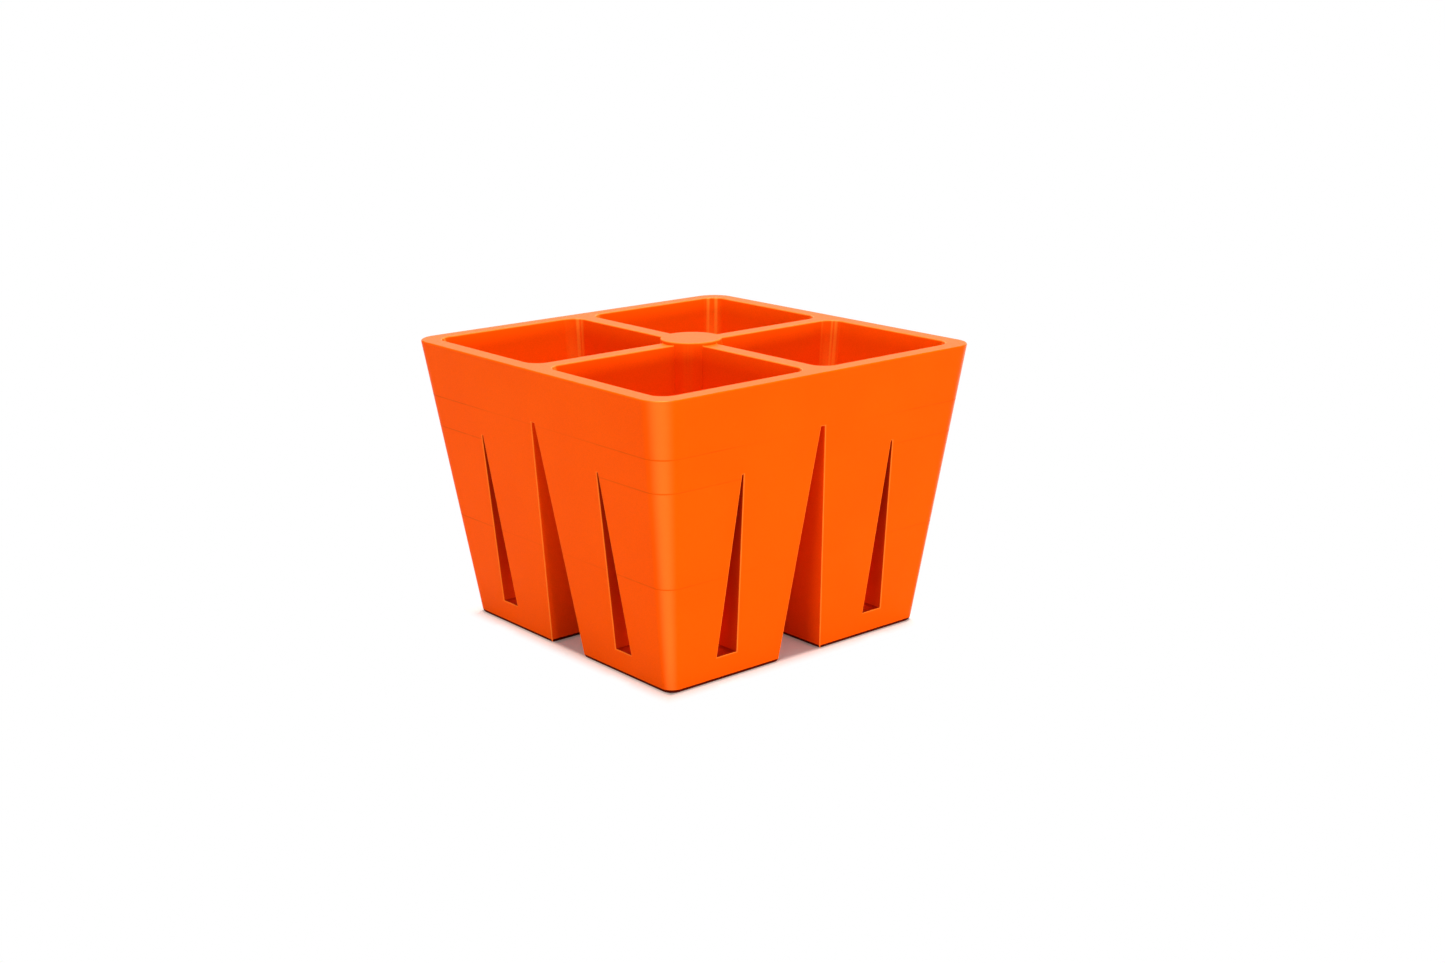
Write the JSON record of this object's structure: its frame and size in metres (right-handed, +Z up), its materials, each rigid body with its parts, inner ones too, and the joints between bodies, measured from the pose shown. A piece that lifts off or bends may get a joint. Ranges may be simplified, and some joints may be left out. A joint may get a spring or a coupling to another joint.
{
  "type": "seed starting tray",
  "caption": "Square tapered seed starting tray: open cells side by side, slim air slots in the outer walls and a cross-shaped notch between the feet.",
  "frame": {"origin": "on the ground, midway between the feet, under the centre of the rim", "axes": "+Z up out of the cells, X and Y square to the outer walls"},
  "size_m": [0.125, 0.125, 0.091],
  "materials": {
    "tray": "fine matte moulded surface, bright orange"
  },
  "bodies": {
    "root": {"tray": "tray"}
  },
  "joints": []
}
